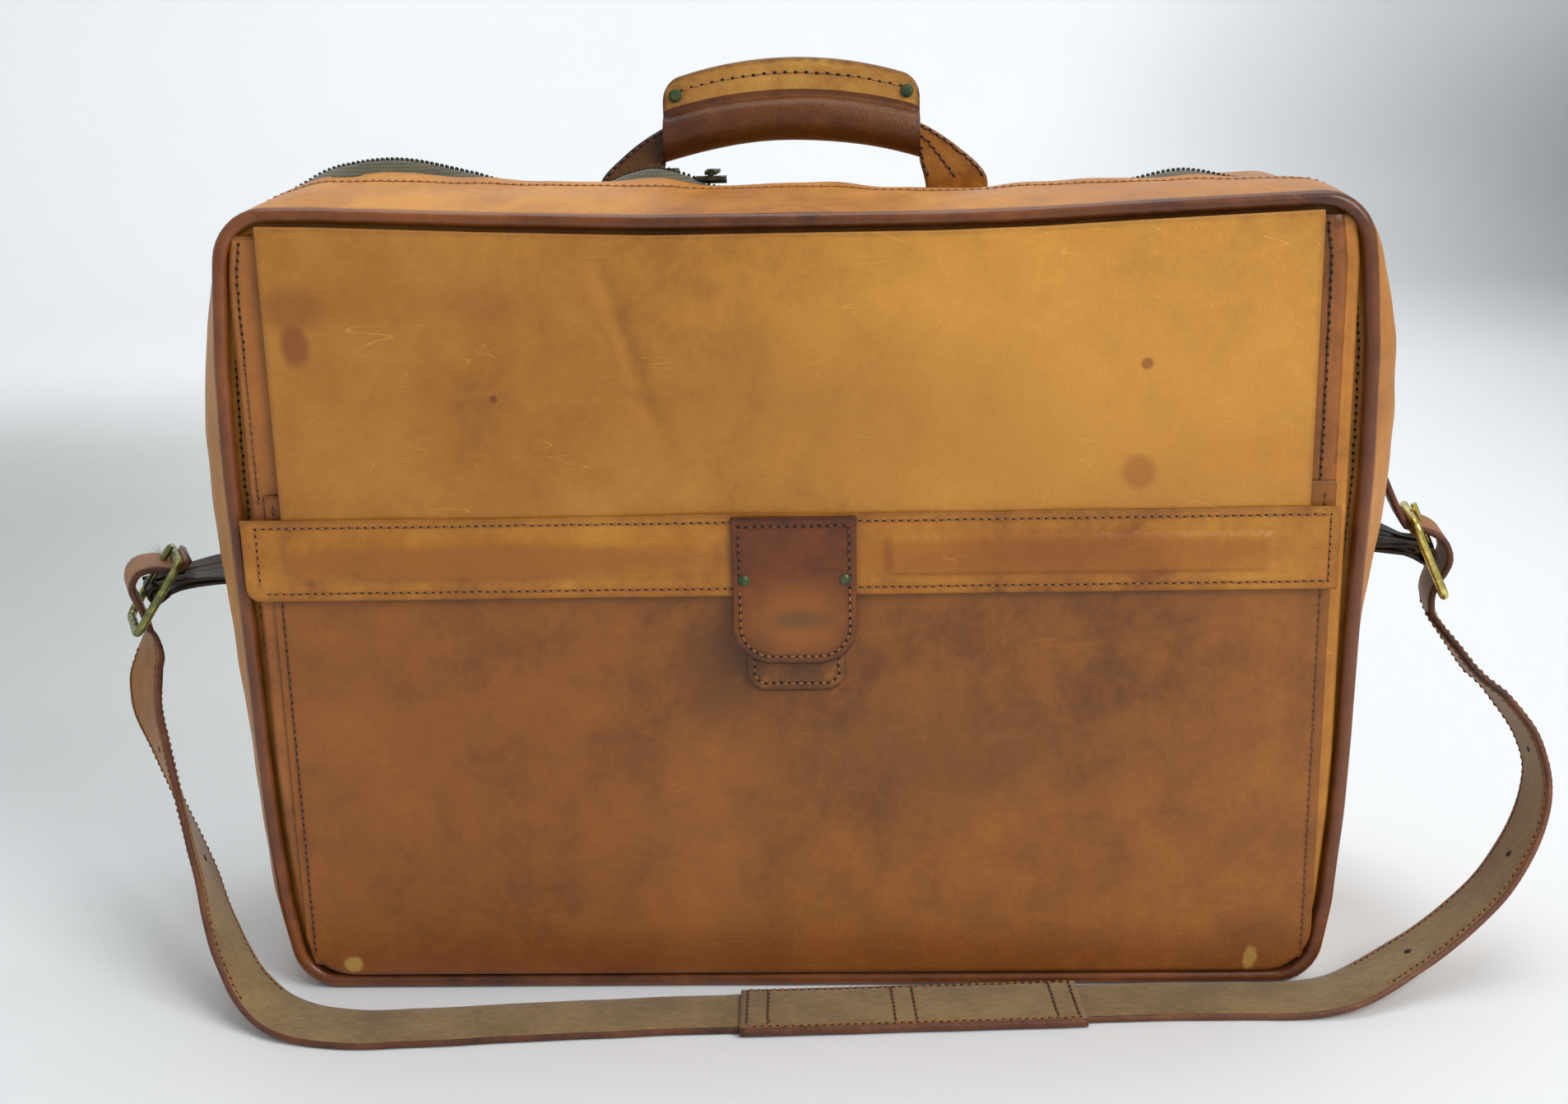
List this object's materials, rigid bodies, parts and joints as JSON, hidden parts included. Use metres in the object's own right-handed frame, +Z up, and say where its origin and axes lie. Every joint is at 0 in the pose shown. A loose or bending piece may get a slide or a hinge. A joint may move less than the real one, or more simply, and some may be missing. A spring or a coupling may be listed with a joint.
{
  "type": "satchel bag",
  "caption": "Soft tan leather attache satchel that zips open in two shells, with a snap-tab flap pocket, rolled carry handle and buckled shoulder strap.",
  "frame": {"origin": "centre of the flat underside, on the surface that the bag stands on", "axes": "+Z up, +X along the bag's width to the right seen from the front, front with the flap pocket towards -Y"},
  "size_m": [0.6494, 0.1926, 0.3953],
  "materials": {
    "case_leather": "worn vegetable-tanned, satin",
    "flap_leather": "worn vegetable-tanned, satin",
    "pocket_leather": "darkened vegetable-tanned, satin",
    "piping_leather": "smooth, semi-gloss",
    "dark_leather": "dark, handled, semi-gloss",
    "handle_leather": "handled, satin",
    "strap_leather": "flesh side, matt",
    "lining": "woven, matt",
    "stiff_board": "fibreboard, matt",
    "padding": "matt",
    "zip_tape": "woven tape, matt",
    "zip_metal": "dark tarnished",
    "old_brass": "green patina",
    "brass": "worn, satin"
  },
  "bodies": {
    "rear_shell": {"rear_gusset": "case_leather", "bottom_gusset": "case_leather", "back_panel": "case_leather", "rear_piping": "piping_leather", "back_board": "stiff_board", "bottom_board": "stiff_board", "rear_lining": "lining", "rear_gusset_lining": "lining", "rear_zip_tape": "zip_tape", "rear_zip_teeth": "zip_metal", "handle_plate": "stiff_board", "left_strap_root": "handle_leather", "right_strap_root": "handle_leather", "left_side_tab": "dark_leather", "right_side_tab": "dark_leather", "left_tab_patch": "case_leather", "right_tab_patch": "case_leather", "tab_patch_rivets": "old_brass"},
    "front_shell": {"front_gusset": "case_leather", "front_panel": "case_leather", "front_piping": "piping_leather", "front_board": "stiff_board", "front_lining": "lining", "front_gusset_lining": "lining", "front_zip_tape": "zip_tape", "front_zip_teeth": "zip_metal", "pocket_panel": "pocket_leather", "left_pocket_side": "pocket_leather", "right_pocket_side": "pocket_leather", "closure_base": "pocket_leather", "snap_stud": "old_brass"},
    "flap": {"front_flap": "flap_leather", "flap_band": "flap_leather", "left_stiffener": "stiff_board", "right_stiffener": "stiff_board", "closure_tab": "dark_leather", "closure_rivets": "old_brass"},
    "closure_tongue": {"closure_tongue": "dark_leather", "snap_socket": "old_brass"},
    "handle": {"grip_wrap": "handle_leather", "grip_core": "padding", "left_handle_strap": "handle_leather", "right_handle_strap": "handle_leather", "grip_rivets": "old_brass"},
    "left_slider": {"left_slider": "zip_metal"},
    "right_slider": {"right_slider": "zip_metal"},
    "left_pull": {"left_pull": "zip_metal"},
    "right_pull": {"right_pull": "zip_metal"},
    "shoulder_strap": {"strap_left": "strap_leather", "strap_pad": "strap_leather", "strap_right": "strap_leather", "left_buckle": "brass", "right_buckle": "brass", "left_prong": "brass", "right_prong": "brass"}
  },
  "joints": [
    {"name": "front_opening", "type": "hinge", "parent": "rear_shell", "child": "front_shell", "pos_m": [0, -0.07, 0.005], "axis": [1, 0, 0], "range_deg": [0, 28]},
    {"name": "flap_lift", "type": "hinge", "parent": "front_shell", "child": "flap", "pos_m": [0, -0.07115, 0.333], "axis": [-1, 0, 0], "range_deg": [0, 110]},
    {"name": "tongue_lift", "type": "hinge", "parent": "flap", "child": "closure_tongue", "pos_m": [0, -0.0758, 0.186], "axis": [-1, 0, 0], "range_deg": [0, 60]},
    {"name": "handle_swing", "type": "hinge", "parent": "rear_shell", "child": "handle", "pos_m": [0, 0.02, 0.342], "axis": [1, 0, 0], "range_deg": [-70, 18], "deforming": ["left_strap_root", "right_strap_root"]},
    {"name": "left_slider_slide", "type": "slide", "parent": "rear_shell", "child": "left_slider", "axis": [-0.9993, 0, 0.0363], "range_m": [0, 0.128]},
    {"name": "right_slider_slide", "type": "slide", "parent": "rear_shell", "child": "right_slider", "axis": [0.9994, 0, -0.0334], "range_m": [0, 0.094]},
    {"name": "left_pull_lift", "type": "hinge", "parent": "left_slider", "child": "left_pull", "pos_m": [-0.052, -0.01, 0.35158], "axis": [1, 0, 0], "range_deg": [0, 150]},
    {"name": "right_pull_lift", "type": "hinge", "parent": "right_slider", "child": "right_pull", "pos_m": [-0.034, -0.01, 0.35095], "axis": [1, 0, 0], "range_deg": [0, 150]},
    {"name": "strap_swing", "type": "hinge", "parent": "rear_shell", "child": "shoulder_strap", "pos_m": [0, 0.012, 0.16933], "axis": [0.9998, 0, 0.0189], "range_deg": [-100, 0], "deforming": ["left_side_tab", "right_side_tab"]}
  ]
}
